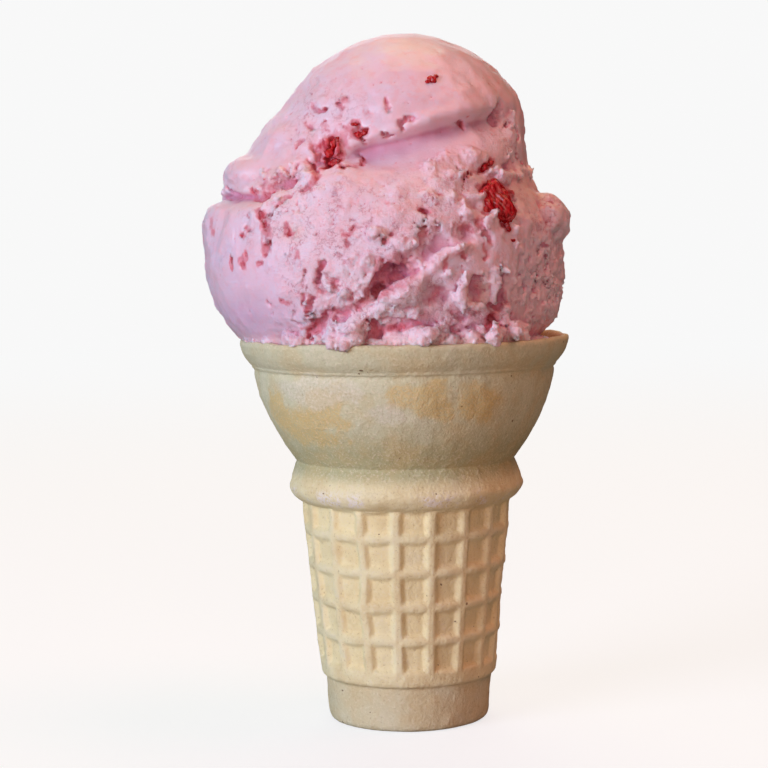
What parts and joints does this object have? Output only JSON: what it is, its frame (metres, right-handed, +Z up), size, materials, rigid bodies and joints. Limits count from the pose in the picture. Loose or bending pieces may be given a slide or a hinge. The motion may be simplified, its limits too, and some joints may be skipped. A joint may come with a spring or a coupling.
{
  "type": "ice cream cone",
  "caption": "Strawberry ice cream heaped over the rim of a flat-bottomed moulded wafer cup cone with a waffle-grid grip, with a piece of strawberry showing in its front.",
  "frame": {"origin": "centre of the flat foot's underside, where the cone stands", "axes": "+Z up along the cone's axis, -Y towards the front, +X to the viewer's right from the front"},
  "size_m": [0.0766, 0.0741, 0.1445],
  "materials": {
    "wafer_cup": "matte baked wafer",
    "ice_cream": "satin frozen cream with wet spots",
    "strawberry": "wet frozen fruit"
  },
  "bodies": {
    "root": {"wafer_cup": "wafer_cup", "ice_cream": "ice_cream", "strawberry_piece": "strawberry"}
  },
  "joints": []
}
